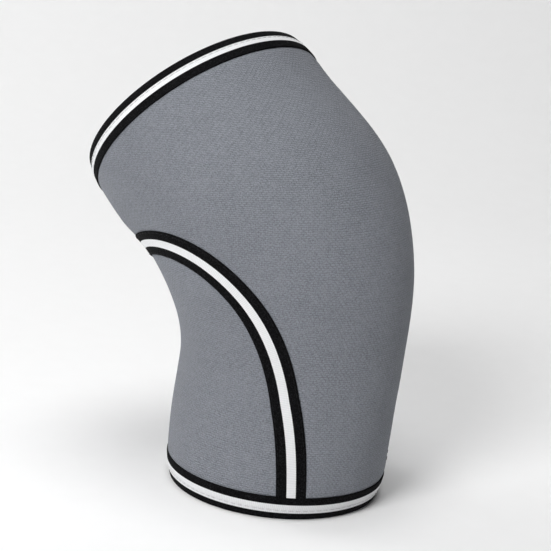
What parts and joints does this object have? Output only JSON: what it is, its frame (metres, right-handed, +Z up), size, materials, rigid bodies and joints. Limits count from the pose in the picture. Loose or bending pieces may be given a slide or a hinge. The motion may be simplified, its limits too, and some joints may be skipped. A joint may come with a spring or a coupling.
{
  "type": "knee sleeve",
  "caption": "Pull-on padded foam knee sleeve held on a half-bent knee, with a curved calf panel and striped webbing over its seam and both hems.",
  "frame": {"origin": "centre of the shin opening, in the plane of its hem's lower edge", "axes": "+Z up the shin from the shin opening, +X towards the front of the knee, Y across the leg"},
  "size_m": [0.1991, 0.1504, 0.2562],
  "materials": {
    "grey_knit": "matt fine jersey knit, mid grey with a blue cast",
    "foam": "matt closed-cell foam rubber, black",
    "lining_knit": "matt fine jersey knit, charcoal",
    "striped_webbing": "ribbed woven webbing, black with one white stripe down its middle",
    "thread": "twisted polyester sewing thread"
  },
  "bodies": {
    "shin": {"knee_panel_face": "grey_knit", "knee_panel_core": "foam", "knee_panel_lining": "lining_knit", "calf_panel_face": "grey_knit", "calf_panel_core": "foam", "calf_panel_lining": "lining_knit", "seam_webbing": "striped_webbing", "seam_webbing_inner_stitching": "thread", "seam_webbing_outer_stitching": "thread", "calf_seam_zigzag": "thread", "shin_hem_webbing": "striped_webbing", "shin_hem_stitching": "thread"},
    "thigh": {"thigh_panel_face": "grey_knit", "thigh_panel_core": "foam", "thigh_panel_lining": "lining_knit", "thigh_hem_webbing": "striped_webbing", "thigh_hem_stitching": "thread", "back_seam_zigzag_outside": "thread", "back_seam_zigzag_inside": "thread"}
  },
  "joints": [
    {"name": "knee_flex", "type": "hinge", "parent": "shin", "child": "thigh", "pos_m": [0.004, 0, 0.118], "axis": [0, -1, 0], "range_deg": [-47.5, 52.5], "stiffness_Nm_per_rad": 2, "deforming": ["knee_panel_face", "knee_panel_core", "knee_panel_lining", "calf_panel_face", "calf_panel_core", "calf_panel_lining", "seam_webbing", "seam_webbing_inner_stitching", "seam_webbing_outer_stitching", "calf_seam_zigzag"]}
  ]
}
